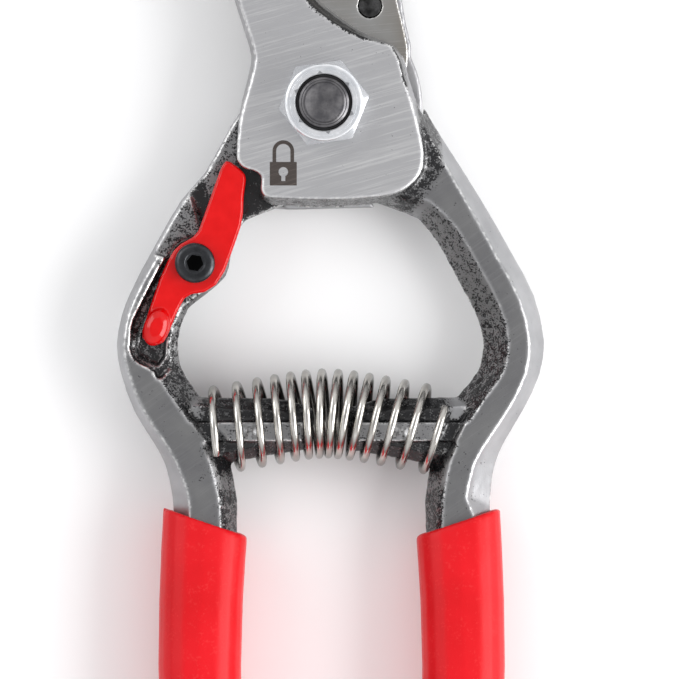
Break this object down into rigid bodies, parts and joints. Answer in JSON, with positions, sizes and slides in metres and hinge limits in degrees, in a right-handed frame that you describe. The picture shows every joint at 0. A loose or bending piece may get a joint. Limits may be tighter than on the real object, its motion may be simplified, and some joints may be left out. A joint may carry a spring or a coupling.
{
  "type": "bypass pruner",
  "caption": "Forged bypass hand pruner lying closed: hooked jaw and bolted blade, hex pivot nut, coil spring between horns, red lock lever and vinyl grips.",
  "frame": {"origin": "on the pivot's axis, at the flat back of the bolt head, which the closed tool rests on", "axes": "+Y from the grips to the jaw tips, +Z from the bolt head to the nut along the pivot, +X towards the hook handle's arm when seen from the nut side"},
  "size_m": [0.0815, 0.2264, 0.024],
  "materials": {
    "forged_steel": "drop-forged, dark and pitted on the drafted sides, ground and satin on the flat faces",
    "blade_steel": "ground, fine lines along the grinding direction",
    "dark_steel": "dark heat-treated steel, matt",
    "zinc_plate": "bright zinc plate",
    "spring_steel": "bright nickel-plated wire",
    "red_enamel": "glossy red enamel",
    "black_oxide": "black oxide, satin",
    "red_vinyl": "soft dipped vinyl, satin with a fine grain"
  },
  "bodies": {
    "blade_side": {"blade_handle": "forged_steel", "cutting_blade": "blade_steel", "blade_rivet": "dark_steel", "pivot_bolt": "dark_steel", "pivot_nut": "zinc_plate", "lock_screw": "black_oxide", "lock_washer": "spring_steel", "left_grip": "red_vinyl", "return_spring": "spring_steel"},
    "hook_side": {"hook_handle": "forged_steel", "right_grip": "red_vinyl"},
    "lock": {"lock_lever": "red_enamel"}
  },
  "joints": [
    {"name": "pivot", "type": "hinge", "parent": "blade_side", "child": "hook_side", "pos_m": [0, 0, 0], "axis": [0, 0, 1], "range_deg": [0, 30], "stiffness_Nm_per_rad": 1.05, "springref_deg": 49.1, "deforming": ["return_spring"]},
    {"name": "lock_turn", "type": "hinge", "parent": "blade_side", "child": "lock", "pos_m": [-0.02451, -0.0304, 0], "axis": [0, 0, 1], "range_deg": [-7.5, 8]}
  ]
}
